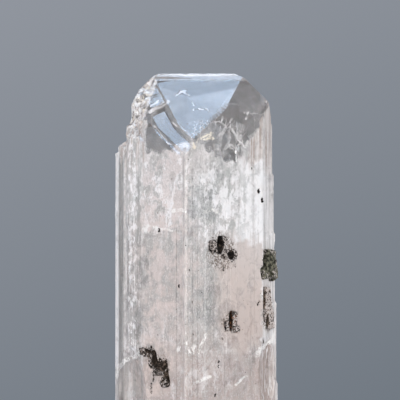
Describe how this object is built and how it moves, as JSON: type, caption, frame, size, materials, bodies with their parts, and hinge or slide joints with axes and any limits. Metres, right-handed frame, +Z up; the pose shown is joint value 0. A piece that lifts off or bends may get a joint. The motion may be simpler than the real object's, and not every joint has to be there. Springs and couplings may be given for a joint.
{
  "type": "danburite crystal",
  "caption": "Clear to milky danburite crystal with a wedge-shaped tip, fluted sides and dark mineral grains, cut off flat to stand upright.",
  "frame": {"origin": "centre of the bounding box at the flat cut base", "axes": "+Z up along the crystal's length, +X to its right seen from the front, -Y towards the front where the tip's large facet faces"},
  "size_m": [0.036, 0.0358, 0.1],
  "materials": {
    "danburite": "natural crystal faces, glassy and clear at the tip, milky and finely striated below",
    "dark_mineral": "grainy, brown-black, dull with small glints"
  },
  "bodies": {
    "root": {"danburite_crystal": "danburite", "dark_grain_upper": "dark_mineral", "dark_grain_right_edge": "dark_mineral", "dark_grain_right_low": "dark_mineral", "dark_grain_centre_low": "dark_mineral", "dark_grain_left_low": "dark_mineral"}
  },
  "joints": []
}
